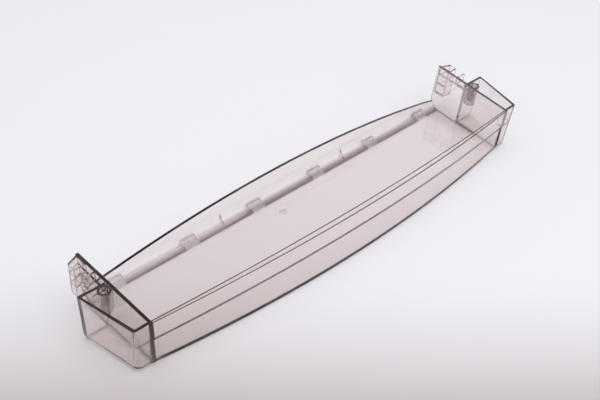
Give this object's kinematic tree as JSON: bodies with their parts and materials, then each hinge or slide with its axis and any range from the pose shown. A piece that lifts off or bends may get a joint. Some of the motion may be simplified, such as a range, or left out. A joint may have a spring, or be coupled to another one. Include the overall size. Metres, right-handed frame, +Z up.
{
  "type": "fridge door shelf",
  "caption": "Clear moulded fridge door shelf: long shallow tray with a bowed front, an arched low back and an open pocket at each end.",
  "frame": {"origin": "on the underside, in the middle of the shelf's width and depth", "axes": "+X along the shelf to its right-hand end, +Y to the back that faces the door, +Z up"},
  "size_m": [0.476, 0.1068, 0.061],
  "materials": {
    "clear_plastic": "clear, slightly smoky"
  },
  "bodies": {
    "root": {"door_shelf": "clear_plastic"}
  },
  "joints": []
}
